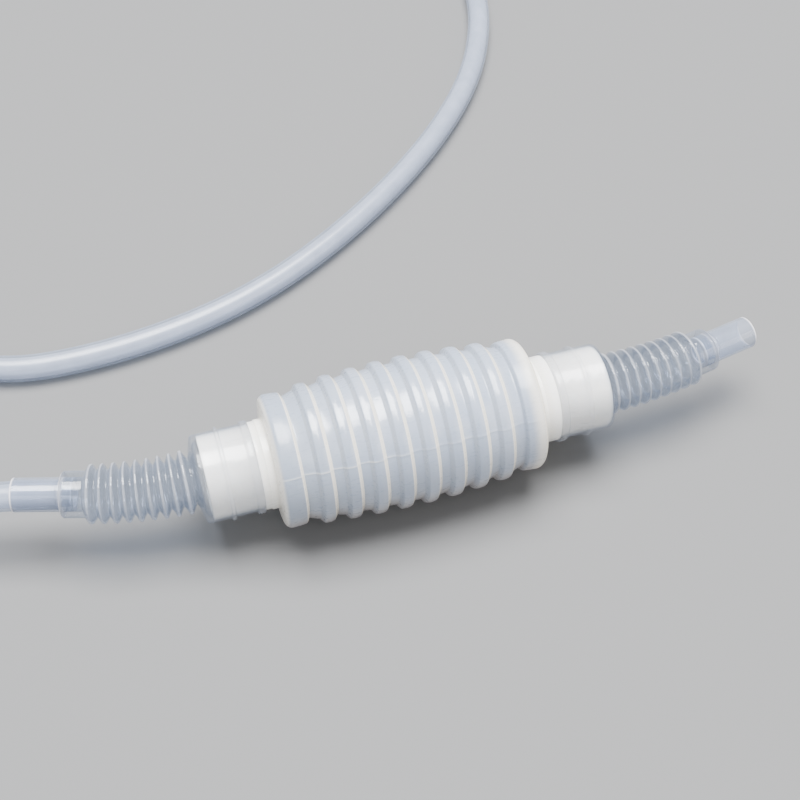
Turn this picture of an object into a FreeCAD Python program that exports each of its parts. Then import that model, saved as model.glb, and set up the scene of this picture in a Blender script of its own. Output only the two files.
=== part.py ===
"""Hand-squeezed bulb siphon pump with two check valves, flexible end adaptors and a hose.

Frame: millimetres, +Z up. The pump lies on a table at z = 0 with its axis along X. The suction
side points to +X and the hose side to -X. The origin is on the table under the bulb's centre.
"""
import FreeCAD, Part
import math
import os

Vector = FreeCAD.Vector
os.makedirs("parts", exist_ok=True)

# ---- bulb: blow-moulded, ribbed barrel with a neck at each end ----
BULB_RADIUS = 26.0            # outer radius of the middle ribs, and height of the pump's axis
BARREL_ARC_RADIUS = 306.0     # arc that the rib crests follow along the bulb
RIB_COUNT = 8
RIB_PITCH = 8.84
RIB_BASE = 5.8
RIB_TOP = 3.3
RIB_HEIGHT = 1.9
FLANGE_WIDTH = 7.3            # the plain end rings
BULB_HALF_LENGTH = 45.0       # to the root of each end wall
END_ROUNDING = 4.0            # large soft edge between the end rings and the end walls
END_LEAN = 0.6                # how far the end walls stand out past their roots
BULB_WALL = 1.2
COLLAR_RADIUS = 15.45
COLLAR_LENGTH = 3.5
NECK_STEP_RADIUS = 15.1
NECK_STEP_END = 50.9          # distance from the bulb's centre to where the neck narrows
NECK_RADIUS = 14.5
NECK_WALL = 1.3
NECK_END = 68.5               # distance from the bulb's centre to the neck's end
INLET_NECK_EXTRA = 2.2        # how much longer the suction side's neck is
VALVE_SEAT_END = 47.5         # distance from the bulb's centre to the step behind the valve
NECK_OPENING_RADIUS = 11.2

# ---- fits ----
PRESS_GAP = 0.03              # radial gap between pieces pushed together by hand or bonded
GUIDE_GAP = 0.15              # radial gap of a valve stem in its guides
END_GAP = 0.05                # axial gap between a piece and its stop

# ---- valve unit, one in each neck, both opening towards -X ----
VALVE_BODY_WALL = 1.55
SEAT_PLATE_START = 3.0        # from the unit's upstream end
SEAT_PLATE_THICKNESS = 2.0
SEAT_BUSH_LENGTH = 3.5
FLOW_HOLE_COUNT = 6
FLOW_HOLE_RADIUS = 2.0
FLOW_HOLE_CIRCLE_RADIUS = 5.7
BUSH_RADIUS = 3.2
STEM_RADIUS = 1.5
STEM_FRONT_LENGTH = 5.2       # from the disc's face, through the seat plate
STEM_REAR_LENGTH = 4.4
DISC_RADIUS = 9.6
DISC_THICKNESS = 1.6
SEAL_THICKNESS = 1.0
SEAL_OUTER_RADIUS = 9.3
SEAL_INNER_RADIUS = 7.9
VALVE_TRAVEL = 2.5
CAGE_LENGTH = 3.0
CAGE_RING_WALL = 1.3
CAGE_SPOKE_COUNT = 4
CAGE_SPOKE_WIDTH = 1.8

# ---- end adaptor: cup over the neck, bellows, cuff ----
CUP_WALL = 0.57
CUP_LENGTH = 19.6
LIP_WIDTH = 2.4
BEAD_HEIGHT = 0.85
BEAD_WIDTH = 1.6
BEAD_CENTRE = 10.8            # from the cup's mouth
OUTLET_SHOULDER = 2.1         # from the cup's rim to the bellows
INLET_SHOULDER = 0.5          # pressed in flat on this side
SHOULDER_WALL = 1.0
BELLOWS_PITCH = 3.87
BELLOWS_COUNT = 9
BELLOWS_FIRST_CREST = 2.3     # from the start of the bellows
BELLOWS_CREST_START_RADIUS = 10.85
BELLOWS_CREST_END_RADIUS = 9.95
BELLOWS_VALLEY_RADIUS = 7.75
BELLOWS_WALL = 0.8            # measured across the folds, along the radius
CREST_FLAT = 0.6
CUFF_WALL = 2.1
CUFF_LENGTH = 7.6
OUTLET_BEND_DEG = 15.5        # bend of each bellows as the pump lies, towards +Y
INLET_BEND_DEG = 11.0

# ---- sleeves and hose ----
HOSE_RADIUS = 5.0
HOSE_WALL = 1.0
SLEEVE_WALL = 0.7
OUTLET_SLEEVE_REACH = 16.3    # how far each sleeve stands out of its cuff
INLET_SLEEVE_REACH = 17.4
SOCKET_DEPTH = 15.0
SLEEVE_STOP_WALL = 1.7

# ---- hose on the table ----
COIL_CENTRE = (-222.0, 74.0)
COIL_RADIUS = 55.0            # to the middle of the bundle of turns
STRAND_OFFSET = 7.07          # from the bundle's middle to each of its four turns
TIE_THICKNESS = 0.8
TIE_WIDTH = 9.0
LEAD_ROUTE = [(-116.1, 7.1, BULB_RADIUS), (-144.6, 15.0, BULB_RADIUS), (-178.0, 17.0, 21.0),
              (-206.0, 11.0, 14.5), (-230.6, 12.5, 12.9)]
RUN_ROUTE = [(-179.1, 117.3, 8.8), (-163.0, 101.0, 6.0), (-131.0, 83.2, 5), (-97.0, 81.0, 5),
             (-60.0, 86.2, 5), (-27.0, 97.0, 5), (6.0, 115.5, 5), (38.0, 139.3, 5),
             (67.0, 166.8, 5), (90.5, 197.0, 5), (105.5, 229.0, 5), (112.5, 257.0, 5),
             (115.0, 277.0, 5)]

# ---- sizes that follow from the ones above ----
CUP_BORE_RADIUS = NECK_RADIUS + PRESS_GAP
CUP_RADIUS = CUP_BORE_RADIUS + CUP_WALL
NECK_BORE_RADIUS = NECK_RADIUS - NECK_WALL
VALVE_RADIUS = NECK_BORE_RADIUS - PRESS_GAP
VALVE_BORE_RADIUS = VALVE_RADIUS - VALVE_BODY_WALL
VALVE_LENGTH = NECK_END - VALVE_SEAT_END - END_GAP
SEAT_FACE = SEAT_PLATE_START + SEAT_PLATE_THICKNESS
DISC_FACE = SEAT_FACE + END_GAP + SEAL_THICKNESS
CAGE_START = DISC_FACE + DISC_THICKNESS + VALVE_TRAVEL + END_GAP
SOCKET_RADIUS = HOSE_RADIUS + PRESS_GAP
SLEEVE_RADIUS = SOCKET_RADIUS + SLEEVE_WALL
CUFF_BORE_RADIUS = SLEEVE_RADIUS + PRESS_GAP
CUFF_RADIUS = CUFF_BORE_RADIUS + CUFF_WALL
BELLOWS_LENGTH = BELLOWS_FIRST_CREST + BELLOWS_PITCH * (BELLOWS_COUNT - 0.5) + 0.2
BUNDLE_RADIUS = STRAND_OFFSET + HOSE_RADIUS


def rounded_face(corners):
    """A flat face in the XY plane from corners (x, y, corner radius), with tangent arcs."""
    count = len(corners)
    starts, ends, middles = [], [], []
    for i, (x, y, radius) in enumerate(corners):
        here = Vector(x, y, 0)
        before = Vector(*corners[i - 1][:2], 0) - here
        after = Vector(*corners[(i + 1) % count][:2], 0) - here
        half = before.getAngle(after) / 2
        if radius == 0 or half > math.pi / 2 - 1e-4:
            starts.append(here)
            ends.append(here)
            middles.append(None)
            continue
        reach = radius / math.tan(half)
        inward = (Vector(before).normalize() + Vector(after).normalize()).normalize()
        starts.append(here + Vector(before).normalize() * reach)
        ends.append(here + Vector(after).normalize() * reach)
        middles.append(here + inward * (radius / math.sin(half) - radius))
    edges = []
    for i in range(count):
        if middles[i] is not None:
            edges.append(Part.Arc(starts[i], middles[i], ends[i]).toShape())
        following = starts[(i + 1) % count]
        if ends[i].distanceToPoint(following) > 1e-6:
            edges.append(Part.LineSegment(ends[i], following).toShape())
    return Part.Face(Part.Wire(edges))


def turned(corners):
    """A solid of revolution about the X axis. The corners are (x, radius, corner radius)."""
    return rounded_face(corners).revolve(Vector(0, 0, 0), Vector(1, 0, 0), 360)


def rod(start, length, radius):
    """A cylinder along +X."""
    return Part.makeCylinder(radius, length, Vector(start, 0, 0), Vector(1, 0, 0))


def placed(shape, position, heading_deg):
    """Turns a shape built along +X to its heading in plan, and moves it to a place on the axis."""
    moved = shape.copy()
    moved.rotate(Vector(0, 0, 0), Vector(0, 0, 1), heading_deg)
    moved.translate(Vector(position[0], position[1], BULB_RADIUS))
    return moved


def crest_radius(x):
    """Outer radius of the rib crests at a distance x from the bulb's centre."""
    drop = BARREL_ARC_RADIUS - math.sqrt(BARREL_ARC_RADIUS ** 2 - x ** 2)
    return BULB_RADIUS - drop


def make_bulb():
    """The ribbed barrel, its end walls and both necks, as one hollow moulding."""
    flange_start = BULB_HALF_LENGTH - FLANGE_WIDTH
    flange_radius = crest_radius(BULB_HALF_LENGTH - FLANGE_WIDTH / 2)
    valley = flange_radius - RIB_HEIGHT
    outside, inside = [], []
    for rib in range(RIB_COUNT // 2):
        centre = (rib + 0.5) * RIB_PITCH
        crest = crest_radius(centre)
        root = crest - RIB_HEIGHT
        outside += [(centre - RIB_BASE / 2, root, 0.5), (centre - RIB_TOP / 2, crest, 1.2),
                    (centre + RIB_TOP / 2, crest, 1.2), (centre + RIB_BASE / 2, root, 0.5)]
        base, top = RIB_BASE / 2 - 0.7, RIB_TOP / 2 - 0.7
        inside += [(centre - base, root - BULB_WALL, 0.4), (centre - top, crest - BULB_WALL, 0.6),
                   (centre + top, crest - BULB_WALL, 0.6), (centre + base, root - BULB_WALL, 0.4)]
    outside += [(flange_start, valley, 0.5), (flange_start + 0.8, flange_radius, 0.9),
                (BULB_HALF_LENGTH + END_LEAN, flange_radius, END_ROUNDING),
                (BULB_HALF_LENGTH + END_LEAN + 0.4, COLLAR_RADIUS, 0.6),
                (BULB_HALF_LENGTH + COLLAR_LENGTH, COLLAR_RADIUS, 0.25),
                (BULB_HALF_LENGTH + COLLAR_LENGTH + 0.3, NECK_STEP_RADIUS, 0)]
    inside += [(flange_start + 0.7, valley - BULB_WALL, 0.4),
               (flange_start + 1.5, flange_radius - BULB_WALL, 0.5),
               (BULB_HALF_LENGTH + END_LEAN - BULB_WALL, flange_radius - BULB_WALL,
                END_ROUNDING - BULB_WALL),
               (BULB_HALF_LENGTH + END_LEAN - BULB_WALL, NECK_OPENING_RADIUS, 0.4),
               (VALVE_SEAT_END, NECK_OPENING_RADIUS, 0), (VALVE_SEAT_END, NECK_BORE_RADIUS, 0)]

    def neck(extra):
        """The neck's outline from its step to the start of its bore."""
        return [(NECK_STEP_END + extra, NECK_STEP_RADIUS, 0.2), (NECK_STEP_END + extra, NECK_RADIUS, 0),
                (NECK_END + extra, NECK_RADIUS, 0.3), (NECK_END + extra, NECK_BORE_RADIUS, 0.2)]

    outlet_half = outside + neck(0) + list(reversed(inside))
    inlet_half = outside + neck(INLET_NECK_EXTRA) + list(reversed(inside))
    outline = [(-x, r, c) for x, r, c in reversed(outlet_half)] + inlet_half
    return placed(turned(outline), (0, 0), 0)


def bend_point(distance, bend_deg):
    """Place and heading, along +X then towards +Y, at a distance along a bent bellows."""
    angle = math.radians(bend_deg) * distance / BELLOWS_LENGTH
    radius = BELLOWS_LENGTH / math.radians(bend_deg)
    return radius * math.sin(angle), radius * (1 - math.cos(angle)), angle


def bellows_sections(inset):
    """Distances along the bellows, and the radius at each, for its outside or its inside."""
    sections = [(0.0, BELLOWS_VALLEY_RADIUS - inset)]
    for fold in range(BELLOWS_COUNT):
        share = fold / (BELLOWS_COUNT - 1)
        crest = (BELLOWS_CREST_START_RADIUS * (1 - share) + BELLOWS_CREST_END_RADIUS * share)
        centre = BELLOWS_FIRST_CREST + BELLOWS_PITCH * fold
        sections += [(centre - CREST_FLAT / 2, crest - inset),
                     (centre + CREST_FLAT / 2, crest - inset)]
        if fold < BELLOWS_COUNT - 1:
            valley = centre + BELLOWS_PITCH / 2
            sections += [(valley - 0.15, BELLOWS_VALLEY_RADIUS - inset),
                         (valley + 0.15, BELLOWS_VALLEY_RADIUS - inset)]
    sections.append((BELLOWS_LENGTH, BELLOWS_VALLEY_RADIUS - inset))
    return sections


def bellows_solid(inset, bend_deg):
    """A solid through circles set square to the bent axis."""
    rings = []
    for distance, radius in bellows_sections(inset):
        x, y, angle = bend_point(distance, bend_deg)
        circle = Part.makeCircle(radius, Vector(x, y, 0),
                                 Vector(math.cos(angle), math.sin(angle), 0))
        rings.append(Part.Wire(circle))
    return Part.makeLoft(rings, True, True)


def make_adaptor(bend_deg, shoulder):
    """Cup, shoulder, bellows and cuff in one soft moulding, from the cup's mouth along +X."""
    bead = CUP_RADIUS + BEAD_HEIGHT
    bellows_start = CUP_LENGTH + shoulder
    shoulder_bend = CUP_LENGTH + 0.35 * shoulder
    bellows_root, bellows_bore = BELLOWS_VALLEY_RADIUS, BELLOWS_VALLEY_RADIUS - BELLOWS_WALL
    cup_floor = NECK_END - NECK_STEP_END + END_GAP
    cup = turned([
        (0, bead, 0.8), (LIP_WIDTH, bead, 0.8), (LIP_WIDTH + 0.5, CUP_RADIUS, 0.2),
        (BEAD_CENTRE - BEAD_WIDTH / 2, CUP_RADIUS, 0.2), (BEAD_CENTRE - 0.4, bead, 0.3),
        (BEAD_CENTRE + 0.4, bead, 0.3), (BEAD_CENTRE + BEAD_WIDTH / 2, CUP_RADIUS, 0.2),
        (CUP_LENGTH, CUP_RADIUS, 1.2), (shoulder_bend, CUP_RADIUS - 2.3, 0.5),
        (bellows_start - 0.2, bellows_root, 0.1), (bellows_start, bellows_root, 0),
        (bellows_start, bellows_bore, 0), (bellows_start - SHOULDER_WALL, bellows_bore, 0.2),
        (shoulder_bend - SHOULDER_WALL, CUP_BORE_RADIUS - 2.4, 0.3),
        (cup_floor, CUP_BORE_RADIUS - 1.0, 0), (cup_floor, CUP_BORE_RADIUS, 0),
        (0, CUP_BORE_RADIUS, 0)])
    bellows = bellows_solid(0, bend_deg).cut(bellows_solid(BELLOWS_WALL, bend_deg))
    bellows.translate(Vector(bellows_start, 0, 0))
    cuff = turned([(0, CUFF_RADIUS, 0.3), (CUFF_LENGTH, CUFF_RADIUS, 1.2),
                   (CUFF_LENGTH, CUFF_BORE_RADIUS, 0.2), (0, CUFF_BORE_RADIUS, 0)])
    x, y, angle = bend_point(BELLOWS_LENGTH, bend_deg)
    cuff.rotate(Vector(0, 0, 0), Vector(0, 0, 1), math.degrees(angle))
    cuff.translate(Vector(bellows_start + x, y, 0))
    return cup.fuse([bellows, cuff]).removeSplitter()


def make_sleeve(reach):
    """Hose socket, from its inner end along +X. The hose stops on its narrowed inner part."""
    length = CUFF_LENGTH + reach
    stop = length - SOCKET_DEPTH
    stop_radius = SLEEVE_RADIUS - SLEEVE_STOP_WALL
    return turned([(0, SLEEVE_RADIUS, 0.3), (length, SLEEVE_RADIUS, 0.3),
                   (length, SOCKET_RADIUS, 0.15), (stop, SOCKET_RADIUS, 0),
                   (stop, stop_radius, 0), (0, stop_radius, 0.3)])


def make_valve_body():
    """White valve housing with its perforated seat plate, from the upstream end along +X."""
    shell = turned([(0, VALVE_RADIUS, 0.4), (VALVE_LENGTH, VALVE_RADIUS, 0.4),
                    (VALVE_LENGTH, VALVE_BORE_RADIUS, 0.3), (0, VALVE_BORE_RADIUS, 0.3)])
    plate = rod(SEAT_PLATE_START, SEAT_PLATE_THICKNESS, VALVE_BORE_RADIUS + VALVE_BODY_WALL / 2)
    bush = rod(SEAT_FACE - SEAT_BUSH_LENGTH, SEAT_BUSH_LENGTH, BUSH_RADIUS)
    body = shell.fuse([plate, bush])
    holes = [rod(0, SEAT_FACE + 1, STEM_RADIUS + GUIDE_GAP)]
    for i in range(FLOW_HOLE_COUNT):
        hole = rod(0, SEAT_FACE + 1, FLOW_HOLE_RADIUS)
        hole.translate(Vector(0, FLOW_HOLE_CIRCLE_RADIUS, 0))
        hole.rotate(Vector(0, 0, 0), Vector(1, 0, 0), 360 * i / FLOW_HOLE_COUNT)
        holes.append(hole)
    return body.cut(holes).removeSplitter()


def make_disc():
    """Poppet disc with a guide stem on both sides, closed on its seat."""
    stem_length = STEM_FRONT_LENGTH + DISC_THICKNESS + STEM_REAR_LENGTH
    disc = turned([(DISC_FACE, 0, 0), (DISC_FACE + DISC_THICKNESS, 0, 0),
                   (DISC_FACE + DISC_THICKNESS, DISC_RADIUS, 0.4), (DISC_FACE, DISC_RADIUS, 0.3)])
    return disc.fuse(rod(DISC_FACE - STEM_FRONT_LENGTH, stem_length, STEM_RADIUS))


def make_seal():
    """Soft ring on the disc's face that closes on the seat plate."""
    start = SEAT_FACE + END_GAP
    return turned([(start, SEAL_INNER_RADIUS, 0.3), (start, SEAL_OUTER_RADIUS, 0.3),
                   (DISC_FACE, SEAL_OUTER_RADIUS, 0), (DISC_FACE, SEAL_INNER_RADIUS, 0)])


def make_cage():
    """Spoked retainer pressed in behind the disc. Its bush guides the stem and stops the disc."""
    outer = VALVE_BORE_RADIUS - PRESS_GAP
    end = CAGE_START + CAGE_LENGTH
    ring = turned([(CAGE_START, outer, 0.3), (end, outer, 0.3),
                   (end, outer - CAGE_RING_WALL, 0.2), (CAGE_START, outer - CAGE_RING_WALL, 0.2)])
    pieces = [rod(CAGE_START, CAGE_LENGTH, BUSH_RADIUS)]
    for i in range(CAGE_SPOKE_COUNT):
        spoke = Part.makeBox(CAGE_LENGTH - 1, CAGE_SPOKE_WIDTH, outer - CAGE_RING_WALL / 2,
                             Vector(CAGE_START + 1, -CAGE_SPOKE_WIDTH / 2, 0))
        spoke.rotate(Vector(0, 0, 0), Vector(1, 0, 0), 360 * i / CAGE_SPOKE_COUNT)
        pieces.append(spoke)
    bore = rod(CAGE_START - 1, CAGE_LENGTH + 2, STEM_RADIUS + GUIDE_GAP)
    return ring.fuse(pieces).cut(bore).removeSplitter()


def tube_path(points):
    """Straight runs joined by tangent arcs, each as large as its two runs allow."""
    points = [Vector(*p) for p in points]
    edges, here, radii = [], points[0], []
    for before, corner, after in zip(points, points[1:], points[2:]):
        back, ahead = before - corner, after - corner
        half = (math.pi - back.getAngle(ahead)) / 2
        reach = 0.45 * min(back.Length, ahead.Length)
        radius = reach / math.tan(half)
        radii.append(round(radius, 1))
        back.normalize()
        ahead.normalize()
        inward = (back + ahead).normalize()
        start, end = corner + back * reach, corner + ahead * reach
        middle = corner + inward * (radius / math.cos(half) - radius)
        edges.append(Part.LineSegment(here, start).toShape())
        edges.append(Part.Arc(start, middle, end).toShape())
        here = end
    edges.append(Part.LineSegment(here, points[-1]).toShape())
    print("bend radii, mm:", radii)
    return Part.Wire(edges), (points[1] - points[0]).normalize()


def make_tube(points):
    """A stretch of hose along a route."""
    path, heading = tube_path(points)
    start = Vector(*points[0])
    solids = []
    for radius in (HOSE_RADIUS, HOSE_RADIUS - HOSE_WALL):
        ring = Part.Wire(Part.makeCircle(radius, start, heading))
        solids.append(path.makePipeShell([ring], True, False))
    tube = solids[0].cut(solids[1])
    section = math.pi * (HOSE_RADIUS ** 2 - (HOSE_RADIUS - HOSE_WALL) ** 2)
    print("hose stretch: length %.1f mm, volume %.0f mm3, section x length %.0f mm3"
          % (path.Length, tube.Volume, section * path.Length))
    return tube


def coil_ring(outer, inner, angle_deg):
    """Part of a ring of round section about the coil's centre, hollow if inner isn't 0."""
    height = BUNDLE_RADIUS + TIE_THICKNESS
    centre = Vector(COIL_RADIUS, 0, height)
    face = Part.Face(Part.Wire(Part.makeCircle(outer, centre, Vector(0, 1, 0))))
    if inner:
        face = face.cut(Part.Face(Part.Wire(Part.makeCircle(inner, centre, Vector(0, 1, 0)))))
    face.rotate(Vector(0, 0, 0), Vector(0, 0, 1), 180 - angle_deg / 2)
    solid = face.revolve(Vector(0, 0, 0), Vector(0, 0, 1), angle_deg)
    solid.translate(Vector(COIL_CENTRE[0], COIL_CENTRE[1], 0))
    return solid.Solids[0] if solid.Solids else solid


def side_pieces(side, bend_deg, shoulder, neck_extra, sleeve_reach):
    """The adaptor and sleeve of one end, by node name. Both ends bend towards +Y."""
    x, y, angle = bend_point(BELLOWS_LENGTH, bend_deg)
    sleeve = make_sleeve(sleeve_reach)
    sleeve.rotate(Vector(0, 0, 0), Vector(0, 0, 1), math.degrees(angle))
    sleeve.translate(Vector(CUP_LENGTH + shoulder + x, y, 0))
    made = {side + "_adaptor": make_adaptor(bend_deg, shoulder), side + "_sleeve": sleeve}
    mouth = NECK_STEP_END + neck_extra
    if side == "outlet":
        made = {name: shape.mirror(Vector(0, 0, 0), Vector(1, 0, 0))
                for name, shape in made.items()}
        mouth = -mouth
    return {name: placed(shape, (mouth, 0), 0) for name, shape in made.items()}


def valve_pieces(side, upstream_x):
    """One valve unit, by node name. Water passes it from +X to -X."""
    made = {"valve_body": make_valve_body(), "valve_disc": make_disc(),
            "valve_seal": make_seal(), "valve_cage": make_cage()}
    return {side + "_" + name: placed(shape, (upstream_x, 0), 180) for name, shape in made.items()}


nodes = {"bulb": make_bulb()}
nodes.update(side_pieces("outlet", OUTLET_BEND_DEG, OUTLET_SHOULDER, 0.0,
                         OUTLET_SLEEVE_REACH))
nodes.update(side_pieces("inlet", INLET_BEND_DEG, INLET_SHOULDER, INLET_NECK_EXTRA,
                         INLET_SLEEVE_REACH))
nodes.update(valve_pieces("outlet", -VALVE_SEAT_END - END_GAP))
nodes.update(valve_pieces("inlet", NECK_END))
nodes["hose_lead"] = make_tube(LEAD_ROUTE)
nodes["hose_run"] = make_tube(RUN_ROUTE)
nodes["hose_coil"] = coil_ring(BUNDLE_RADIUS, 0, 360)
nodes["hose_tie"] = coil_ring(BUNDLE_RADIUS + TIE_THICKNESS, BUNDLE_RADIUS,
                              math.degrees(TIE_WIDTH / COIL_RADIUS))

for name, shape in nodes.items():
    box = shape.BoundBox
    print("%-20s valid %s, solids %d, volume %.0f, x %.1f..%.1f y %.1f..%.1f z %.2f..%.2f" % (
        name, shape.isValid(), len(shape.Solids), shape.Volume,
        box.XMin, box.XMax, box.YMin, box.YMax, box.ZMin, box.ZMax))
    shape.exportStep("parts/" + name + ".step")
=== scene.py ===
"""Looks of the gravel vacuum siphon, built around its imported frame.

Metres, +Z up, in the frame of the CAD model: the pump's axis runs along X, with the hose side at
-X and the open suction socket at +X. Profiles are written in millimetres and scaled by MM.
"""

import math

import bmesh
import bpy
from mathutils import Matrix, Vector, noise


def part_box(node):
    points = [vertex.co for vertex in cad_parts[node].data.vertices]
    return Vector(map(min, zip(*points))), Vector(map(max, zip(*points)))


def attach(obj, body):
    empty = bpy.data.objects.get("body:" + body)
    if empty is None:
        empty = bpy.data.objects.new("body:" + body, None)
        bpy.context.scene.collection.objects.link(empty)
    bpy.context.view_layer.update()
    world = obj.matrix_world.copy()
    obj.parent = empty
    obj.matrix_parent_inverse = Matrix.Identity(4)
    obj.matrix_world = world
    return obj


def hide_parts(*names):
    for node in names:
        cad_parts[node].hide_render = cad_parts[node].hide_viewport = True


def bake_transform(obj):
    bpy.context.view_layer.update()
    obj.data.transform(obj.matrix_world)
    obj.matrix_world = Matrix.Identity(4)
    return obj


MM = 0.001
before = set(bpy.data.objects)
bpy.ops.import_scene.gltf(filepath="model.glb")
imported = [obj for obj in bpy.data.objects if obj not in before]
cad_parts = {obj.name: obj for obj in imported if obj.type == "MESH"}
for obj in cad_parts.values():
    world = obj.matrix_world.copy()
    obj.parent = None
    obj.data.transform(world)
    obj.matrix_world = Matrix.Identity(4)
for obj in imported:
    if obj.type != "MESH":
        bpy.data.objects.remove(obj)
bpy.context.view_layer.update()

AXIS_Z = (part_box("bulb")[0][2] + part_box("bulb")[1][2]) / 2 / MM
UP = Vector((0, 0, 1))

# ---------------------------------------------------------------- sizes, mm
BULB_RADIUS = 26.0
BARREL_ARC_RADIUS = 306.0       # the crests lie on this arc along the barrel
RIB_COUNT = 8
RIB_PITCH = 8.84
RIB_BASE = 5.8
RIB_TOP = 3.3
RIB_HEIGHT = 1.9
CROWN_RISE = 0.03               # the middle of a rib stands this much over the crests' arc
RIB_CROWN = 0.25                # and this much over the rib's edges
RIB_INSET = 0.7                 # how much narrower a rib's hollow is at each side
FLANGE_WIDTH = 7.3
BULB_HALF_LENGTH = 45.0
END_ROUNDING = 4.0
END_LEAN = 0.6                  # how far the end wall lies beyond the half length
BULB_WALL = 1.2
COLLAR_RADIUS = 15.45
COLLAR_LENGTH = 3.5
NECK_STEP_RADIUS = 15.1
NECK_STEP_END = 50.9
NECK_RADIUS = 14.5
NECK_BORE_RADIUS = 13.2
NECK_END = 68.5
INLET_STEP_EXTRA = 2.2          # how much further out the inlet neck's step lies
INLET_NECK_EXTRA = 3.4          # and its end
NECK_OPENING_RADIUS = 11.2
VALVE_SEAT_END = 47.5

CUP_BORE_RADIUS = 14.53
CUP_RADIUS = 15.1
CUP_LENGTH = 19.6
LIP_WIDTH = 2.4
BEAD_HEIGHT = 0.85
BEAD_WIDTH = 1.6
BEAD_CENTRE = 10.8
SHOULDER_WALL = 1.0
BELLOWS_PITCH = 3.87
BELLOWS_COUNT = 9
FIRST_CREST = 2.3
CREST_START_RADIUS = 10.85
CREST_END_RADIUS = 9.95
VALLEY_RADIUS = 7.75
CREST_ROUNDING = 0.7
BELLOWS_WALL = 0.8
BELLOWS_LENGTH = FIRST_CREST + BELLOWS_PITCH * (BELLOWS_COUNT - 0.5) + 0.2
CUFF_RADIUS = 7.86
CUFF_BORE_RADIUS = 5.76
CUFF_LENGTH = 7.6
OUTLET_SHOULDER = 2.1           # from the cup's end to the bellows
INLET_SHOULDER = 0.5
OUTLET_BEND_DEG = 15.5
INLET_BEND_DEG = 11.0
OUTLET_MOUTH = NECK_STEP_END    # where the cup's mouth lies along the axis
INLET_MOUTH = NECK_STEP_END + INLET_STEP_EXTRA
CUP_END_CLEARANCE = 0.05

HOSE_RADIUS = 5.0
HOSE_BORE_RADIUS = 4.0
SOCKET_RADIUS = 5.03
SLEEVE_RADIUS = 5.73
SLEEVE_STOP_RADIUS = 4.03
SLEEVE_SET_IN = 3.4             # from the start of the cuff to the sleeve's inner end
OUTLET_SLEEVE_REACH = 16.3      # from the end of the cuff to the sleeve's mouth
INLET_SLEEVE_REACH = 17.4
SOCKET_DEPTH = 15.0

COIL_CENTRE = (-222.0, 74.0)
COIL_RADIUS = 55.0
STRAND_OFFSET = 7.07
BUNDLE_HEIGHT = 12.87           # of the middle of the four strands
COIL_START_DEG = 262
COIL_TRAVEL_DEG = 1297
COIL_TWIST = 0.25               # turns about the bundle's middle for each turn of the coil
COIL_POINTS = 87
TIE_THICKNESS = 0.8
TIE_WIDTH = 9.0
TIE_CLEARANCE = 0.05
TIE_STEPS = 8                   # round each strand

# control points of the hose's line, from the sleeve to the coil and from the coil to its far end
LEAD_ROUTE = [(-116.1, 7.1, 26), (-144.6, 15.0, 26), (-178.0, 17.0, 21.0), (-206.0, 11.0, 14.5)]
RUN_ROUTE = [(-163.0, 101.0, 6.0), (-131.0, 83.2, 5), (-97.0, 81.0, 5), (-60.0, 86.2, 5),
             (-27.0, 97.0, 5), (6.0, 115.5, 5), (38.0, 139.3, 5), (67.0, 166.8, 5),
             (90.5, 197.0, 5), (105.5, 229.0, 5), (112.5, 257.0, 5), (115.0, 277.0, 5)]

SEGMENTS = 160
BULB_SEGMENTS = 360
HOSE_SEGMENTS = 40
SLEEVE_SEGMENTS = 96

SEAM_TURN = math.radians(-53)
SEAM_SIDES = (SEAM_TURN, SEAM_TURN + math.pi)
SEAM_HEIGHT = 0.12
SEAM_WIDTH = 0.010              # radians
UNEVENNESS = 0.10
UNEVEN_AROUND = 1.3             # how fast the unevenness changes round the barrel
UNEVEN_ALONG = 0.045            # and along it


# ---------------------------------------------------------------- mesh helpers
def rounded_outline(corners, steps=5):
    """Points along a closed outline. Each corner is (distance, radius, corner radius)."""
    points = []
    count = len(corners)
    for i, (x, y, radius) in enumerate(corners):
        here = Vector((x, y))
        before = Vector(corners[i - 1][:2]) - here
        after = Vector(corners[(i + 1) % count][:2]) - here
        half = before.angle(after) / 2
        if radius == 0 or half > math.pi / 2 - 1e-3:
            points.append(here)
            continue
        reach = radius / math.tan(half)
        reach = min(reach, 0.49 * before.length, 0.49 * after.length)
        arc_radius = reach * math.tan(half)
        inward = (before.normalized() + after.normalized()).normalized()
        centre = here + inward * (arc_radius / math.sin(half))
        start = here + before.normalized() * reach - centre
        end = here + after.normalized() * reach - centre
        sweep = start.angle_signed(end)
        for k in range(steps + 1):
            turn = sweep * k / steps
            points.append(centre + Vector((start.x * math.cos(-turn) - start.y * math.sin(-turn),
                                           start.x * math.sin(-turn) + start.y * math.cos(-turn))))
    return [(p.x, p.y) for p in points]


def stepped(outline, longest=1.2):
    """The outline with its long runs divided, so that marks change only where they should."""
    points = []
    for i, (x, y) in enumerate(outline):
        u, v = outline[(i + 1) % len(outline)]
        count = max(1, math.ceil(math.hypot(u - x, v - y) / longest))
        points += [(x + (u - x) * k / count, y + (v - y) * k / count) for k in range(count)]
    return points


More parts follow.
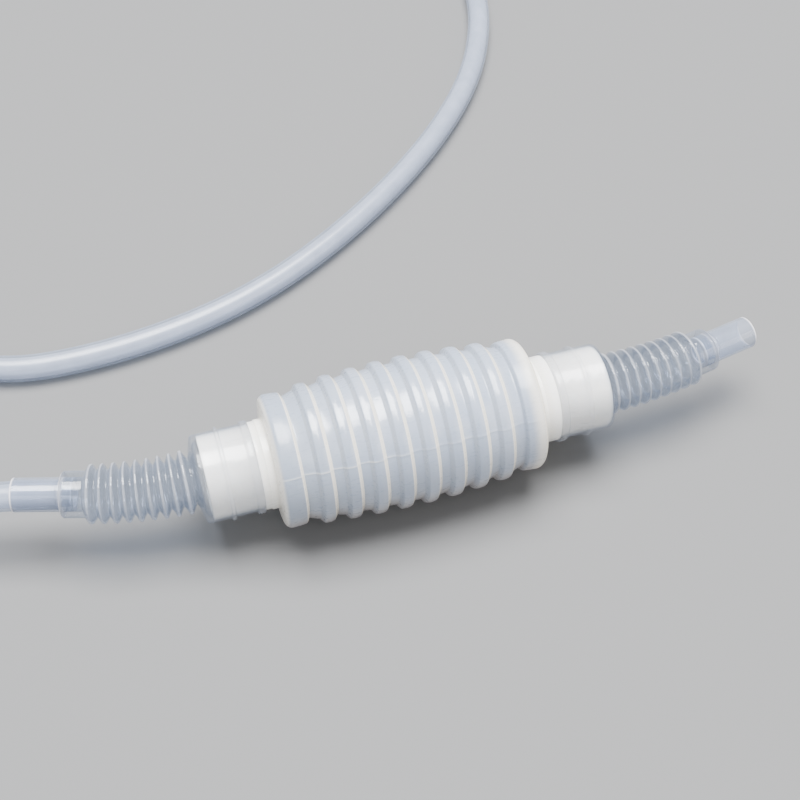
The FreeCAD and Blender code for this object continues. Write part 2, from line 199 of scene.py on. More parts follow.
def mesh_from_rings(name, rings, marks=None):
    """A smooth closed mesh through rings of points in millimetres, the last joined to the first.
    marks holds a value for each ring by attribute name."""
    around = len(rings[0])
    vertices = [tuple(p * MM for p in point) for ring in rings for point in ring]
    faces = []
    for i in range(len(rings)):
        a, b = i * around, (i + 1) % len(rings) * around
        for j in range(around):
            k = (j + 1) % around
            faces.append((a + j, a + k, b + k, b + j))
    mesh = bpy.data.meshes.new(name)
    mesh.from_pydata(vertices, [], faces)
    for key, values in (marks or {}).items():
        layer = mesh.attributes.new(key, "FLOAT", "POINT")
        layer.data.foreach_set("value", [value for value in values for _ in range(around)])
    mesh.polygons.foreach_set("use_smooth", [True] * len(faces))
    mesh.validate()
    piece = bpy.data.objects.new(name, mesh)
    bpy.context.collection.objects.link(piece)
    return piece


def fix_normals(piece):
    """Turns every face outwards."""
    work = bmesh.new()
    work.from_mesh(piece.data)
    bmesh.ops.recalc_face_normals(work, faces=work.faces)
    work.to_mesh(piece.data)
    work.free()


def straight(distance):
    """Place along the pump's axis."""
    return Vector((distance, 0, AXIS_Z)), 0.0


def ring(centre, heading, radius, segments, wobble=None):
    """A circle square to a heading in plan."""
    side = Vector((-math.sin(heading), math.cos(heading), 0))
    points = []
    for k in range(segments):
        turn = 2 * math.pi * k / segments
        r = radius + (wobble(centre, turn) if wobble else 0)
        points.append(centre + (UP * math.cos(turn) + side * math.sin(turn)) * r)
    return points


def turned(name, outline, look, place=straight, segments=SEGMENTS, marks=None, wobble=None):
    """A shell turned about a straight or bent axis from a closed outline of (distance, radius)."""
    rings = [ring(*place(x), r, segments, wobble) for x, r in outline]
    piece = mesh_from_rings(name, rings, marks)
    fix_normals(piece)
    piece.data.materials.append(look)
    return piece


# ---------------------------------------------------------------- node helpers
def add(tree, kind, inputs=None, **settings):
    """A shader node. An input is set to a value, or linked when it is given a socket."""
    made = tree.nodes.new(kind)
    for key, value in settings.items():
        setattr(made, key, value)
    for key, value in (inputs or {}).items():
        if isinstance(value, bpy.types.NodeSocket):
            tree.links.new(value, made.inputs[key])
        else:
            made.inputs[key].default_value = value
    return made


def material(name, **constants):
    """A material with one Principled shader and its constant values."""
    made = bpy.data.materials.new(name)
    made.use_nodes = True
    shader = made.node_tree.nodes["Principled BSDF"]
    for key, value in constants.items():
        shader.inputs[key.replace("_", " ")].default_value = value
    return made, made.node_tree, shader


def place_of(tree):
    """Place in the piece's own space, in metres."""
    return add(tree, "ShaderNodeTexCoord").outputs["Object"]


def cloud(tree, scale, detail=3.0, roughness=0.5, stretch=(1, 1, 1), distortion=0.0):
    """Noise in the piece's own space, stretched along its axes."""
    mapping = add(tree, "ShaderNodeMapping", {"Vector": place_of(tree), "Scale": stretch})
    made = add(tree, "ShaderNodeTexNoise", {"Vector": mapping.outputs[0], "Scale": scale,
                                            "Detail": detail, "Roughness": roughness,
                                            "Distortion": distortion})
    return made.outputs["Fac"]


def mark_of(tree, name):
    """A value stored on the mesh."""
    return add(tree, "ShaderNodeAttribute", attribute_name=name).outputs["Fac"]


def span(tree, value, low, high, to_low=0.0, to_high=1.0, smooth=True):
    """A value carried from one range to another, held at its ends."""
    made = add(tree, "ShaderNodeMapRange", {"Value": value, "From Min": low, "From Max": high,
                                            "To Min": to_low, "To Max": to_high})
    if smooth:
        made.interpolation_type = "SMOOTHSTEP"
    return made.outputs[0]


def blend_colour(tree, share, first, second):
    """The first colour, going over to the second as share goes from 0 to 1."""
    made = add(tree, "ShaderNodeMix", data_type="RGBA")
    for socket, value in zip((made.inputs[0], made.inputs[6], made.inputs[7]),
                             (share, first, second)):
        if isinstance(value, bpy.types.NodeSocket):
            tree.links.new(value, socket)
        else:
            socket.default_value = value
    return made.outputs[2]


def maths(tree, operation, first, second=0.0, clamp=False):
    """The result of a sum on values or sockets."""
    made = add(tree, "ShaderNodeMath", operation=operation, use_clamp=clamp)
    for socket, value in zip(made.inputs, (first, second)):
        if isinstance(value, bpy.types.NodeSocket):
            tree.links.new(value, socket)
        else:
            socket.default_value = value
    return made.outputs[0]


def bumps(tree, height, distance, strength, under=None):
    """A bumped normal, over another one if given. Distance is in metres."""
    inputs = {"Height": height, "Distance": distance, "Strength": strength}
    if under is not None:
        inputs["Normal"] = under
    return add(tree, "ShaderNodeBump", inputs).outputs[0]


# ---------------------------------------------------------------- materials
def bulb_material():
    """Milky polyethylene: bluish and slightly uneven, with a painted cream glow on the ribs' walls
    that face the inlet, painted shade on walls that face the outlet, a painted warm glow where the
    wall faces down, and white at the necks, where it lies on the valve housings. The attribute
    rest_x is the distance along the axis in millimetres, and stays with the surface as the bulb is
    squeezed."""
    made, tree, shader = material("milky_polyethylene", Roughness=0.32, IOR=1.5,
                                  Subsurface_Weight=0.3, Subsurface_Radius=(1.0, 1.1, 1.3),
                                  Subsurface_Scale=0.0012, Coat_Roughness=0.06,
                                  Coat_IOR=1.65)
    position = add(tree, "ShaderNodeSeparateXYZ", {0: place_of(tree)})
    normal = add(tree, "ShaderNodeSeparateXYZ",
                 {0: add(tree, "ShaderNodeTexCoord").outputs["Normal"]})
    to_inlet, upwards = normal.outputs[0], normal.outputs[2]
    rest_x = mark_of(tree, "rest_x")
    along = maths(tree, "ABSOLUTE", rest_x)

    # the milky wall: uneven in tone and darker towards the outlet end; darker on walls that face
    # the outlet, a painted shade; warmer and lighter where it faces down, a painted glow of light
    # through the wall
    uneven = cloud(tree, 60, 4, 0.55, (1, 0.6, 0.6))
    colour = blend_colour(tree, span(tree, uneven, 0.35, 0.65),
                          (0.335, 0.39, 0.495, 1), (0.40, 0.45, 0.545, 1))
    # painted shade: walls that face the outlet are darker
    colour = blend_colour(tree, span(tree, to_inlet, -0.25, -0.7, 0.0, 0.55), colour,
                          (0.30, 0.345, 0.42, 1))
    colour = blend_colour(tree, span(tree, rest_x, -5.0, -42.0, 0.0, 0.6), colour,
                          (0.29, 0.335, 0.41, 1))
    # painted glow: warmer and lighter where the wall faces down, light shining through from above
    colour = blend_colour(tree, span(tree, upwards, 0.0, -0.4, 0.0, 0.8), colour,
                          (0.45, 0.415, 0.40, 1))

    # painted glow: cream light painted on the ribs' walls that face the inlet and on the inlet
    # flange's rounding
    inlet_shoulder_glow = maths(tree, "MULTIPLY", span(tree, rest_x, 39.5, 43.5), 0.7)
    painted_cream_glow = maths(tree, "MAXIMUM", span(tree, to_inlet, 0.28, 0.62), inlet_shoulder_glow)
    colour = blend_colour(tree, maths(tree, "MULTIPLY", painted_cream_glow, 0.9), colour,
                          (1.0, 0.93, 0.80, 1))

    # a pale seam line on two sides, wandering a little and faint towards the inlet
    turn = maths(tree, "ARCTAN2", position.outputs[1],
                 maths(tree, "SUBTRACT", position.outputs[2], AXIS_Z * MM))
    wander = maths(tree, "MULTIPLY", maths(tree, "SUBTRACT", cloud(tree, 90, 2), 0.5), 0.02)
    turn = maths(tree, "ADD", turn, wander)
    lines = [span(tree, maths(tree, "ABSOLUTE", maths(tree, "SUBTRACT", turn, side)),
                  0.006, 0.016, 1.0, 0.0) for side in SEAM_SIDES]
    seam = maths(tree, "MAXIMUM", *lines)
    seam = maths(tree, "MULTIPLY", seam, span(tree, cloud(tree, 130, 2), 0.35, 0.6, 0.06, 0.4))
    seam = maths(tree, "MULTIPLY", seam, span(tree, rest_x, -15.0, 20.0, 1.0, 0.3))
    colour = blend_colour(tree, seam, colour, (0.80, 0.79, 0.77, 1))

    # the end walls, the collars and the necks
    wall = maths(tree, "MULTIPLY", span(tree, along, 44.2, 45.6), 0.8)
    colour = blend_colour(tree, wall, colour, (0.93, 0.88, 0.78, 1))
    colour = blend_colour(tree, span(tree, along, 46.0, 47.5), colour, (0.95, 0.92, 0.86, 1))
    colour = blend_colour(tree, span(tree, along, 49.0, 51.5), colour, (0.97, 0.955, 0.925, 1))
    tree.links.new(colour, shader.inputs["Base Color"])

    # gloss: strong on the ribs, less on the ends and towards the inlet
    coat = maths(tree, "MULTIPLY", span(tree, along, 37.2, 39.2, 0.9, 0.3),
                 span(tree, rest_x, -20.0, 35.0, 1.0, 0.5))
    tree.links.new(coat, shader.inputs["Coat Weight"])
    tree.links.new(span(tree, cloud(tree, 900, 5, 0.6, (0.3, 1, 1)), 0.3, 0.75, 0.24, 0.44),
                   shader.inputs["Roughness"])
    swell = bumps(tree, cloud(tree, 90, 2, 0.4, (0.5, 1, 1)), 0.0005, 0.25)
    scuffs = bumps(tree, cloud(tree, 1400, 4, 0.65, (0.25, 1, 1), 0.4), 0.00006, 0.25, swell)
    drawn = bumps(tree, cloud(tree, 600, 4, 0.65, (0.2, 1, 1), 0.8), 0.00018, 0.5, swell)
    tree.links.new(scuffs, shader.inputs["Normal"])
    tree.links.new(drawn, shader.inputs["Coat Normal"])
    return made


PAINTED_HIGHLIGHT_COLOUR = (0.84, 0.82, 0.85, 1)      # a painted highlight colour, pale pinkish, on the crests, beads, rims and bore
EDGE_TINT = (0.42, 0.49, 0.60, 1)       # what passes through a clear wall edge on
CUP_POLISH = 0.22
CUP_HAZE = 0.7


def film_material(name, tint, cup_tint, haze_colour, haze, edge_haze, highlight_haze, polish,
                  edge_depth):
    """Clear or cloudy plastic film. What is behind it shows through, tinted; haze hides some of
    it, more where the wall is seen edge on; the gloss lies over both. Crests, beads, rims and the
    hose's bore, picked out by a stored attribute, get more haze and a pale colour, a painted
    highlight. polish is the gloss's roughness, and edge_depth is how much darker the film gets
    edge on. cup is 1 on an adaptor's cup."""
    made, tree, shader = material(name, Roughness=0.3, IOR=1.5)
    highlight_mark, cup = mark_of(tree, "highlight_mark"), mark_of(tree, "cup")
    edge = add(tree, "ShaderNodeLayerWeight", {"Blend": 0.5}).outputs["Facing"]
    uneven = cloud(tree, 150, 3, 0.5)
    relief = bumps(tree, cloud(tree, 180, 3, 0.45), 0.0004, span(tree, cup, 0.0, 1.0, 0.2, 0.6))

    # more haze on the crests, beads, rims and bore: part of the painted highlight
    amount = maths(tree, "ADD", span(tree, edge, 0.35, 1.0, haze, edge_haze),
                   maths(tree, "MULTIPLY", highlight_mark, highlight_haze))
    amount = maths(tree, "MULTIPLY", amount, span(tree, uneven, 0.3, 0.7, 0.85, 1.15, False), True)
    amount = maths(tree, "MULTIPLY", amount, span(tree, cup, 0.0, 1.0, 1.0, CUP_HAZE))
    # painted highlight: pale pinkish on the crests, beads, rims and bore
    colour = blend_colour(tree, highlight_mark, haze_colour, PAINTED_HIGHLIGHT_COLOUR)
    tree.links.new(colour, shader.inputs["Base Color"])

    through = blend_colour(tree, cup, tint, cup_tint)
    through = blend_colour(tree, maths(tree, "MULTIPLY", span(tree, edge, 0.55, 1.0), edge_depth),
                           through, EDGE_TINT)
    clear = add(tree, "ShaderNodeBsdfTransparent", {"Color": through})
    gloss = add(tree, "ShaderNodeBsdfGlossy",
                {"Color": (1, 1, 1, 1), "Roughness": span(tree, cup, 0.0, 1.0, polish, CUP_POLISH),
                 "Normal": relief})
    grazing = add(tree, "ShaderNodeLayerWeight", {"Blend": 0.5, "Normal": relief})
    mirror = maths(tree, "POWER", grazing.outputs["Facing"], 5.0)
    mirror = maths(tree, "MULTIPLY", mirror, 0.96)
    mirror = maths(tree, "ADD", mirror, 0.04)
    shiny = add(tree, "ShaderNodeMixShader", {0: mirror, 1: clear.outputs[0], 2: gloss.outputs[0]})
    whole = add(tree, "ShaderNodeMixShader",
                {0: amount, 1: shiny.outputs[0], 2: shader.outputs[0]})
    tree.links.new(whole.outputs[0], tree.nodes["Material Output"].inputs["Surface"])
    return made


def valve_material():
    """White moulded polypropylene."""
    made, tree, shader = material("white_polypropylene", Roughness=0.4, Subsurface_Weight=0.2,
                                  Subsurface_Radius=(0.001, 0.001, 0.001))
    tree.links.new(blend_colour(tree, cloud(tree, 180, 3), (0.86, 0.86, 0.83, 1),
                                (0.93, 0.93, 0.91, 1)), shader.inputs["Base Color"])
    tree.links.new(bumps(tree, cloud(tree, 2200, 3), 0.00005, 0.4), shader.inputs["Normal"])
    return made


def seal_material():
    """Soft grey rubber."""
    made, tree, shader = material("soft_rubber", Roughness=0.6)
    tree.links.new(blend_colour(tree, cloud(tree, 400, 3), (0.55, 0.55, 0.53, 1),
                                (0.66, 0.66, 0.64, 1)), shader.inputs["Base Color"])
    tree.links.new(bumps(tree, cloud(tree, 3000, 2), 0.00004, 0.5), shader.inputs["Normal"])
    return made


def tie_material():
    """Woven white hook-and-loop strap."""
    made, tree, shader = material("woven_strap", Roughness=0.85, Sheen_Weight=0.4)
    weave = add(tree, "ShaderNodeTexWave", {"Vector": place_of(tree), "Scale": 900,
                                            "Distortion": 1.5, "Detail": 2},
                wave_type="BANDS", bands_direction="DIAGONAL")
    tree.links.new(blend_colour(tree, weave.outputs["Fac"], (0.70, 0.71, 0.72, 1),
                                (0.88, 0.88, 0.87, 1)), shader.inputs["Base Color"])
    tree.links.new(bumps(tree, weave.outputs["Fac"], 0.0003, 0.7), shader.inputs["Normal"])
    return made


# ---------------------------------------------------------------- camera, light, floor
VIEW_AZIMUTH = math.radians(-16.34)
VIEW_ELEVATION = math.radians(51.99)
VIEW_DISTANCE = 0.4794
VIEW_TARGET = Vector((0.00204, 0.00839, 0.03274))
LENS_MM = 63.0
SENSOR_MM = 36

FLOOR_REACH = 40.0                      # metres
FLOOR_COLOUR = (0.155, 0.156, 0.158, 1)
FAR_FLOOR_COLOUR = (0.80, 0.80, 0.81, 1)        # far from the lights, so that the floor looks even
FLOOR_CHANGE = (1.0, 7.0)               # metres from the middle
WORLD_COLOUR = (0.93, 0.96, 1.0, 1)
WORLD_STRENGTH = 0.62
# name, place, width, height, watts, colour
LIGHTS = [("softbox", (0.16, 0.54, 3.03), 2.2, 1.98, 440, (1, 1, 1)),
          ("side_fill", (-2.7, -2.1, 2.1), 2.4, 2.4, 54, (0.93, 0.96, 1.0)),
          ("warm_fill", (2.6, -2.4, 1.9), 2.4, 2.4, 46, (1.0, 0.92, 0.82))]
LIGHTS_AIM = Vector((0, 0, 0.02))


def make_camera():
    """The camera at the photographed view."""
    data = bpy.data.cameras.new("camera")
    data.lens = LENS_MM
    data.sensor_width = SENSOR_MM
    data.clip_start = 0.01
    data.dof.use_dof = False
    camera = bpy.data.objects.new("camera", data)
    back = Vector((math.sin(VIEW_AZIMUTH) * math.cos(VIEW_ELEVATION),
                   -math.cos(VIEW_AZIMUTH) * math.cos(VIEW_ELEVATION), math.sin(VIEW_ELEVATION)))
    camera.location = VIEW_TARGET + back * VIEW_DISTANCE
    camera.rotation_euler = back.to_track_quat("Z", "Y").to_euler()
    bpy.context.collection.objects.link(camera)
    bpy.context.scene.camera = camera


def area_light(name, place, width, height, power, colour):
    """A soft light that faces the part."""
    data = bpy.data.lights.new(name, "AREA")
    data.shape = "RECTANGLE"
    data.size, data.size_y = width, height
    data.energy = power
    data.color = colour
    lamp = bpy.data.objects.new(name, data)
    lamp.location = place
    lamp.rotation_euler = (Vector(place) - LIGHTS_AIM).to_track_quat("Z", "Y").to_euler()
    bpy.context.collection.objects.link(lamp)


def make_stage():
    """The floor, the lights and the even surroundings."""
    mesh = bpy.data.meshes.new("floor")
    reach = FLOOR_REACH
    mesh.from_pydata([(-reach, -reach, 0), (reach, -reach, 0), (reach, reach, 0),
                      (-reach, reach, 0)], [], [(0, 1, 2, 3)])
    floor = bpy.data.objects.new("floor", mesh)
    bpy.context.collection.objects.link(floor)
    made, tree, shader = material("pale_floor", Roughness=0.75)
    away = add(tree, "ShaderNodeVectorMath", {0: place_of(tree)}, operation="LENGTH")
    change = span(tree, away.outputs["Value"], *FLOOR_CHANGE)
    tree.links.new(blend_colour(tree, change, FLOOR_COLOUR, FAR_FLOOR_COLOUR),
                   shader.inputs["Base Color"])
    floor.data.materials.append(made)
    for light in LIGHTS:
        area_light(*light)
    world = bpy.data.worlds.new("studio")
    world.use_nodes = True
    background = world.node_tree.nodes["Background"]
    background.inputs["Color"].default_value = WORLD_COLOUR
    background.inputs["Strength"].default_value = WORLD_STRENGTH
    bpy.context.scene.world = world


# ---------------------------------------------------------------- hose
def coil_points():
    """The put-away turns: four strands that twist slowly round the bundle's middle."""
    step = COIL_TRAVEL_DEG / COIL_POINTS
    pull = 0.75 + 0.25 * math.cos(math.radians(step))
    points = []
    for k in range(COIL_POINTS + 1):
        travel = k * step
        heading = math.radians(COIL_START_DEG - travel)
        strand = math.radians(COIL_TWIST * travel)
        radius = (COIL_RADIUS + STRAND_OFFSET * math.cos(strand)) / pull
        points.append((COIL_CENTRE[0] + radius * math.cos(heading),
                       COIL_CENTRE[1] + radius * math.sin(heading),
                       BUNDLE_HEIGHT + STRAND_OFFSET * math.sin(strand)))
    return points


def spline_points(name, control, resolution):
    """Points in millimetres along a smooth NURBS line through the control points' pull."""
    curve = bpy.data.curves.new(name, "CURVE")
    curve.dimensions = "3D"
    spline = curve.splines.new("NURBS")
    spline.points.add(len(control) - 1)
    for point, place in zip(spline.points, control):
        point.co = (*(c * MM for c in place), 1)
    spline.order_u = 3
    spline.use_endpoint_u = True
    spline.resolution_u = resolution
    holder = bpy.data.objects.new(name, curve)
    mesh = bpy.data.meshes.new_from_object(holder)
    points = [v.co / MM for v in mesh.vertices]
    bpy.data.objects.remove(holder)
    bpy.data.curves.remove(curve)
    bpy.data.meshes.remove(mesh)
    return points


def tube_rings(points, radius):
    """Rings carried along a line without twist."""
    rings = []
    across = (points[1] - points[0]).cross(UP).normalized()
    for i, here in enumerate(points):
        before, after = points[max(i - 1, 0)], points[min(i + 1, len(points) - 1)]
        heading = (after - before).normalized()
        across = (across - heading * across.dot(heading)).normalized()
        other = heading.cross(across)
        turns = (2 * math.pi * k / HOSE_SEGMENTS for k in range(HOSE_SEGMENTS))
        rings.append([here + (across * math.cos(t) + other * math.sin(t)) * radius for t in turns])
    return rings


# painted lighter band: the hose's bore wall gets more haze and the pale painted highlight colour
BORE_HIGHLIGHT = 0.6


def make_hose(look):
    """The whole hose as one tube, with its line in metres and its length."""
    points = spline_points("hose_line", LEAD_ROUTE + coil_points() + RUN_ROUTE, 8)
    outer = tube_rings(points, HOSE_RADIUS)
    inner = tube_rings(points, HOSE_BORE_RADIUS)
    marks = [0.0] * len(outer) + [BORE_HIGHLIGHT] * len(inner)
    hose = mesh_from_rings("hose", outer + inner[::-1], {"highlight_mark": marks})
    fix_normals(hose)
    hose.data.materials.append(look)
    path = [tuple(p * MM) for p in points]
    length = sum((b - a).length for a, b in zip(points, points[1:])) * MM
    return hose, path, length


# ---------------------------------------------------------------- bulb
def crest_radius(x):
    """The barrel's radius over the crests at a distance along the axis."""
    return BULB_RADIUS - BARREL_ARC_RADIUS + math.sqrt(BARREL_ARC_RADIUS ** 2 - x ** 2)


def bulb_outline():
    """Half of the barrel, outside and inside, mirrored for the outlet, with a neck at each end."""
    start = BULB_HALF_LENGTH - FLANGE_WIDTH
    flange = crest_radius(BULB_HALF_LENGTH - FLANGE_WIDTH / 2)
    valley = flange - RIB_HEIGHT
    outside, inside = [], []
    for rib in range(RIB_COUNT // 2):
        centre = (rib + 0.5) * RIB_PITCH
        crest = crest_radius(centre)
        crown, edge = crest + CROWN_RISE, crest + CROWN_RISE - RIB_CROWN
        root = crest - RIB_HEIGHT
        outside += [(centre - RIB_BASE / 2, root, 0.5), (centre - RIB_TOP / 2, edge, 0.9),
                    (centre, crown, 3.0),
                    (centre + RIB_TOP / 2, edge, 0.9), (centre + RIB_BASE / 2, root, 0.5)]
        base, top = RIB_BASE / 2 - RIB_INSET, RIB_TOP / 2 - RIB_INSET
        inside += [(centre - base, root - BULB_WALL, 0.4), (centre - top, crest - BULB_WALL, 0.6),
                   (centre + top, crest - BULB_WALL, 0.6), (centre + base, root - BULB_WALL, 0.4)]
    wall = BULB_HALF_LENGTH + END_LEAN
    outside += [(start, valley, 0.5), (start + 0.8, flange - 0.3, 0.9), (start + 3.2, flange, 6.0),
                (wall, flange - 0.25, END_ROUNDING), (wall + 0.4, COLLAR_RADIUS, 0.6),
                (BULB_HALF_LENGTH + COLLAR_LENGTH, COLLAR_RADIUS, 0.25),
                (BULB_HALF_LENGTH + COLLAR_LENGTH + 0.3, NECK_STEP_RADIUS, 0)]
    inside += [(start + 0.7, valley - BULB_WALL, 0.4), (start + 1.5, flange - BULB_WALL, 0.5),
               (wall - BULB_WALL, flange - BULB_WALL, END_ROUNDING - BULB_WALL),
               (wall - BULB_WALL, NECK_OPENING_RADIUS, 0.4),
               (VALVE_SEAT_END, NECK_OPENING_RADIUS, 0), (VALVE_SEAT_END, NECK_BORE_RADIUS, 0)]
    halves = []
    for step_extra, extra in ((0, 0), (INLET_STEP_EXTRA, INLET_NECK_EXTRA)):
        step, end = NECK_STEP_END + step_extra, NECK_END + extra
        neck = [(step, NECK_STEP_RADIUS, 0.2), (step, NECK_RADIUS, 0),
                (end, NECK_RADIUS, 0.3), (end, NECK_BORE_RADIUS, 0.2)]
        halves.append(outside + neck + list(reversed(inside)))
    return rounded_outline([(-x, r, c) for x, r, c in reversed(halves[0])] + halves[1])


def bulb_wobble(centre, turn):
    """A blow-moulded wall is a little uneven, and has a low seam along two sides."""
    if abs(centre.x) > BULB_HALF_LENGTH - 2:
        return 0.0
    around = Vector((math.cos(turn), math.sin(turn), 0))
    uneven = noise.noise(around * UNEVEN_AROUND + Vector((0, 0, centre.x * UNEVEN_ALONG)))
    seam = 0.0
    for side in SEAM_SIDES:
        off = math.remainder(turn - side, 2 * math.pi)
        seam += math.exp(-(off / SEAM_WIDTH) ** 2)
    return UNEVENNESS * (uneven - 1.0) + SEAM_HEIGHT * (seam - 1.0)


def make_bulb(look):
    """The barrel with its two necks, and each ring's place along the axis stored on it."""
    outline = bulb_outline()
    return turned("bulb_shell", outline, look, segments=BULB_SEGMENTS,
                  marks={"rest_x": [x for x, r in outline]}, wobble=bulb_wobble)


# ---------------------------------------------------------------- adaptors and sleeves
def bent_place(mouth, bellows_start, bend_deg, direction):
    """Place and heading at a distance from the cup's mouth, straight, then bent, then straight.
    direction is 1 towards the inlet and -1 towards the outlet."""
    bend = math.radians(bend_deg)
    radius = BELLOWS_LENGTH / bend

    def place(distance):
        along = distance - bellows_start
        angle = bend * min(max(along / BELLOWS_LENGTH, 0), 1)
        x, y = radius * math.sin(angle), radius * (1 - math.cos(angle))
        beyond = along if along < 0 else max(along - BELLOWS_LENGTH, 0)
        x += beyond * math.cos(angle)
        y += beyond * math.sin(angle)
        centre = Vector((direction * (mouth + bellows_start + x), y, AXIS_Z))
        return centre, (angle if direction > 0 else math.pi - angle)
    return place


def fold_crest(share):
    """The radius over the folds, which narrow from the cup (0) to the cuff (1)."""
    return CREST_START_RADIUS * (1 - share) + CREST_END_RADIUS * share


def bellows_outline(start, inset):
    """The folds, from the cup's end to the cuff, with rounded crests."""
    corners = [(start, VALLEY_RADIUS - inset, 0)]
    for fold in range(BELLOWS_COUNT):
        crest = fold_crest(fold / (BELLOWS_COUNT - 1))
        centre = start + FIRST_CREST + BELLOWS_PITCH * fold
        slope = math.atan(BELLOWS_PITCH / 2 / (crest + CREST_ROUNDING - VALLEY_RADIUS))
        peak = crest + CREST_ROUNDING * (1 / math.sin(slope) - 1)
        corners += [(centre, peak - inset, CREST_ROUNDING)]
        if fold < BELLOWS_COUNT - 1:
            corners += [(centre + BELLOWS_PITCH / 2, VALLEY_RADIUS - 0.1 - inset, 0.3)]
    corners.append((start + BELLOWS_LENGTH, VALLEY_RADIUS - inset, 0))
    return corners


def adaptor_outline(shoulder, deeper):
    """The adaptor from the cup's mouth to the cuff. deeper moves the cup's floor further in."""
    bead = CUP_RADIUS + BEAD_HEIGHT
    start = CUP_LENGTH + shoulder
    bend = CUP_LENGTH + 0.35 * shoulder
    end = start + BELLOWS_LENGTH
    floor = NECK_END - NECK_STEP_END + deeper + CUP_END_CLEARANCE
    outside = [(0, bead, 0.8), (LIP_WIDTH, bead, 0.8), (LIP_WIDTH + 0.5, CUP_RADIUS, 0.2),
               (BEAD_CENTRE - BEAD_WIDTH / 2, CUP_RADIUS, 0.2), (BEAD_CENTRE - 0.4, bead, 0.3),
               (BEAD_CENTRE + 0.4, bead, 0.3), (BEAD_CENTRE + BEAD_WIDTH / 2, CUP_RADIUS, 0.2),
               (CUP_LENGTH, CUP_RADIUS, 1.2), (bend, CUP_RADIUS - 2.3, 0.5)]
    outside += bellows_outline(start, 0)
    outside += [(end + 0.01, CUFF_RADIUS, 0.3), (end + CUFF_LENGTH, CUFF_RADIUS, 1.2)]
    inside = [(end + CUFF_LENGTH, CUFF_BORE_RADIUS, 0.2), (end, CUFF_BORE_RADIUS, 0)]
    inside += list(reversed(bellows_outline(start, BELLOWS_WALL)))
    inside += [(start - SHOULDER_WALL, VALLEY_RADIUS - BELLOWS_WALL, 0.2),
               (bend - SHOULDER_WALL, CUP_BORE_RADIUS - 2.4, 0.3),
               (floor, CUP_BORE_RADIUS - 1.0, 0), (floor, CUP_BORE_RADIUS, 0),
               (0, CUP_BORE_RADIUS, 0)]
    return stepped(rounded_outline(outside + inside, 6))


# strength of the painted highlight on the bellows' crests and on the cup's beads
CREST_HIGHLIGHT = 0.5
BEAD_HIGHLIGHT = 0.3


def adaptor_marks(outline, shoulder):
    """Where crests, beads and rims get a painted highlight and more haze, and cup: 1 on the cup,
    else 0.
    """
    start = CUP_LENGTH + shoulder
    marks = []
    for x, r in outline:
        along = x - start
        if 0 < along < BELLOWS_LENGTH:
            crest = fold_crest(along / BELLOWS_LENGTH)
            marks.append(CREST_HIGHLIGHT * min(max((r - crest + 0.17) / 0.12, 0), 1))
        elif along <= 0:
            marks.append(BEAD_HIGHLIGHT * min(max((r - CUP_RADIUS) / BEAD_HEIGHT, 0), 1))
        else:
            marks.append(1.0 if along > BELLOWS_LENGTH + CUFF_LENGTH - 0.5 else 0.0)
    cup = [min(max((CUP_LENGTH - x) / 2.0, 0), 1) for x, r in outline]
    return {"highlight_mark": marks, "cup": cup}


def make_adaptor(name, look, mouth, shoulder, deeper, bend_deg, direction):
    """The adaptor, and the place along it at a distance from its mouth."""
    outline = adaptor_outline(shoulder, deeper)
    place = bent_place(mouth, CUP_LENGTH + shoulder, bend_deg, direction)
    return turned(name, outline, look, place, marks=adaptor_marks(outline, shoulder)), place


def make_sleeve(name, look, place, bellows_start, reach, end_highlight):
    """A socket bonded in the cuff, with a stop, and a painted highlight at its mouth, stop and
    inner end; the last argument sets how much the inner end gets.
    """
    cuff_start = bellows_start + BELLOWS_LENGTH
    inner_end = cuff_start + SLEEVE_SET_IN
    mouth = cuff_start + CUFF_LENGTH + reach
    stop = mouth - SOCKET_DEPTH
    outline = rounded_outline([
        (inner_end, SLEEVE_RADIUS, 0.3), (mouth, SLEEVE_RADIUS, 0.3), (mouth, SOCKET_RADIUS, 0.15),
        (stop, SOCKET_RADIUS, 0), (stop, SLEEVE_STOP_RADIUS, 0),
        (inner_end, SLEEVE_STOP_RADIUS, 0.3)])
    outline = stepped(outline, 0.5)
    marks = [end_highlight if x < inner_end + 0.35 else
             1.0 if x > mouth - 0.35 or r < SLEEVE_STOP_RADIUS + 0.2 and x > stop - 0.4 else 0.0
             for x, r in outline]
    return turned(name, outline, look, place, SLEEVE_SEGMENTS, {"highlight_mark": marks})


# ---------------------------------------------------------------- tie
def make_tie(look):
    """A strap drawn round the four strands, with softened edges."""
    centre = Vector((COIL_CENTRE[0] - COIL_RADIUS, COIL_CENTRE[1], BUNDLE_HEIGHT))
    strands = [math.radians(COIL_TWIST * (COIL_START_DEG - 180) + 90 * k) for k in range(4)]
    lift = HOSE_RADIUS + TIE_CLEARANCE
    sections = []
    for angle in strands:
        middle = Vector((STRAND_OFFSET * math.cos(angle), STRAND_OFFSET * math.sin(angle)))
        for k in range(TIE_STEPS + 1):
            turn = angle - math.pi / 4 + math.pi / 2 * k / TIE_STEPS
            sections.append((middle, turn))
    rings = []
    half = TIE_WIDTH / 2
    for middle, turn in sections:
        out = Vector((math.cos(turn), math.sin(turn)))
        profile = []
        for across, rise in ((-half, 0.15), (-half + 0.35, 0), (half - 0.35, 0), (half, 0.15),
                             (half, TIE_THICKNESS - 0.25), (half - 0.35, TIE_THICKNESS - 0.05),
                             (-half + 0.35, TIE_THICKNESS - 0.05), (-half, TIE_THICKNESS - 0.25)):
            reach = middle + out * (lift + rise)
            profile.append(centre + Vector((-reach.x, across, reach.y)))
        rings.append(profile)
    tie = mesh_from_rings("storage_tie", rings)
    fix_normals(tie)
    tie.data.materials.append(look)
    return tie


# ---------------------------------------------------------------- assembly
make_camera()
make_stage()

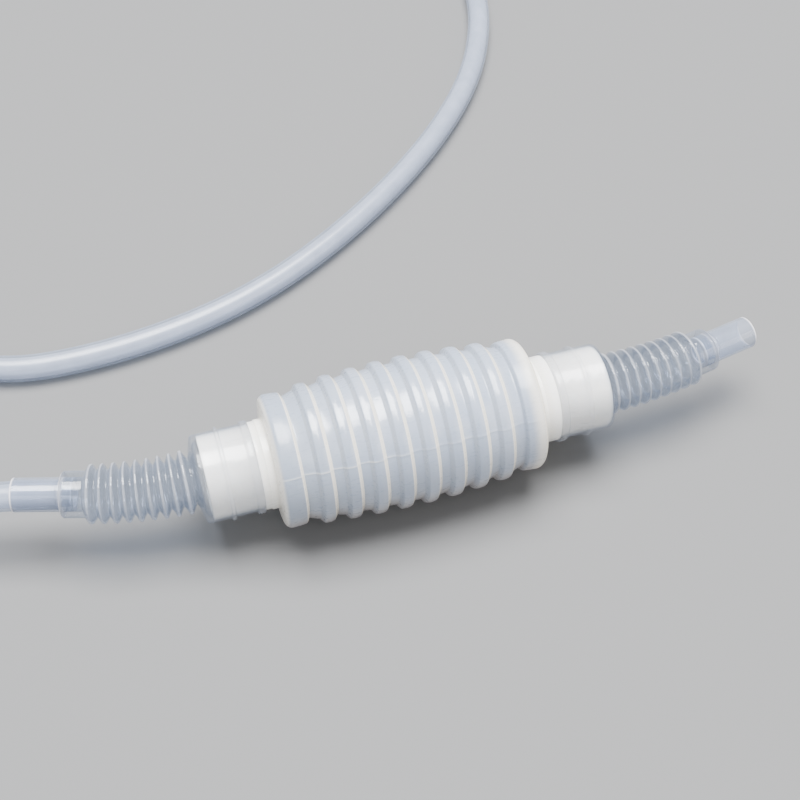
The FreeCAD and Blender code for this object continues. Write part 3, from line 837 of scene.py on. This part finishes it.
hose_look = film_material(
    "hose_plastic", tint=(0.86, 0.89, 0.94, 1), cup_tint=(0.86, 0.89, 0.94, 1),
    haze_colour=(0.43, 0.50, 0.64, 1), haze=0.16, edge_haze=0.42, highlight_haze=0.45,
    polish=0.26, edge_depth=0.5)
adaptor_look = film_material(
    "clear_soft_plastic", tint=(0.84, 0.865, 0.905, 1), cup_tint=(0.985, 0.988, 0.992, 1),
    haze_colour=(0.44, 0.49, 0.58, 1), haze=0.05, edge_haze=0.28, highlight_haze=0.5,
    polish=0.07, edge_depth=0.7)
sleeve_look = film_material(
    "sleeve_plastic", tint=(0.85, 0.88, 0.935, 1), cup_tint=(0.85, 0.88, 0.935, 1),
    haze_colour=(0.52, 0.57, 0.68, 1), haze=0.17, edge_haze=0.36, highlight_haze=0.7,
    polish=0.07, edge_depth=0.6)
valve_look, seal_look = valve_material(), seal_material()

hose, hose_path, hose_length = make_hose(hose_look)
print("hose length", round(hose_length, 3))
tie = make_tie(tie_material())
bulb = make_bulb(bulb_material())
outlet_adaptor, outlet_place = make_adaptor("outlet_adaptor_shell", adaptor_look, OUTLET_MOUTH,
                                            OUTLET_SHOULDER, 0.0, OUTLET_BEND_DEG, -1)
inlet_adaptor, inlet_place = make_adaptor("inlet_adaptor_shell", adaptor_look, INLET_MOUTH,
                                          INLET_SHOULDER, INLET_NECK_EXTRA - INLET_STEP_EXTRA,
                                          INLET_BEND_DEG, 1)
outlet_bellows = CUP_LENGTH + OUTLET_SHOULDER
inlet_bellows = CUP_LENGTH + INLET_SHOULDER
outlet_sleeve = make_sleeve("outlet_sleeve_tube", sleeve_look, outlet_place, outlet_bellows,
                            OUTLET_SLEEVE_REACH, end_highlight=0.25)
inlet_sleeve = make_sleeve("inlet_sleeve_tube", sleeve_look, inlet_place, inlet_bellows,
                           INLET_SLEEVE_REACH, end_highlight=1.0)

# the valves stay as the CAD model has them
for name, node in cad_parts.items():
    if "valve" in name:
        look = seal_look if "seal" in name else valve_look
        for slot in node.material_slots:
            slot.material = look

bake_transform(bulb)
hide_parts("bulb")
for piece, node, near, far, place, start in (
        (outlet_adaptor, "outlet_adaptor", "pump", "outlet_end", outlet_place, outlet_bellows),
        (inlet_adaptor, "inlet_adaptor", "inlet_half", "inlet_end", inlet_place, inlet_bellows)):
    tuple(place(start)[0] * MM)
    tuple(place(start + BELLOWS_LENGTH)[0] * MM)
    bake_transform(piece)
    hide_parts(node)
for piece, node, body in ((outlet_sleeve, "outlet_sleeve", "outlet_end"),
                          (inlet_sleeve, "inlet_sleeve", "inlet_end")):
    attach(piece, body)
    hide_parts(node)
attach(tie, "outlet_end")
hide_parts("hose_tie")
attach(hose, "outlet_end")
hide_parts("hose_lead", "hose_run", "hose_coil")
sleeve_mouth = outlet_bellows + BELLOWS_LENGTH + CUFF_LENGTH + OUTLET_SLEEVE_REACH
hose_exit = outlet_place(sleeve_mouth)[0] * MM
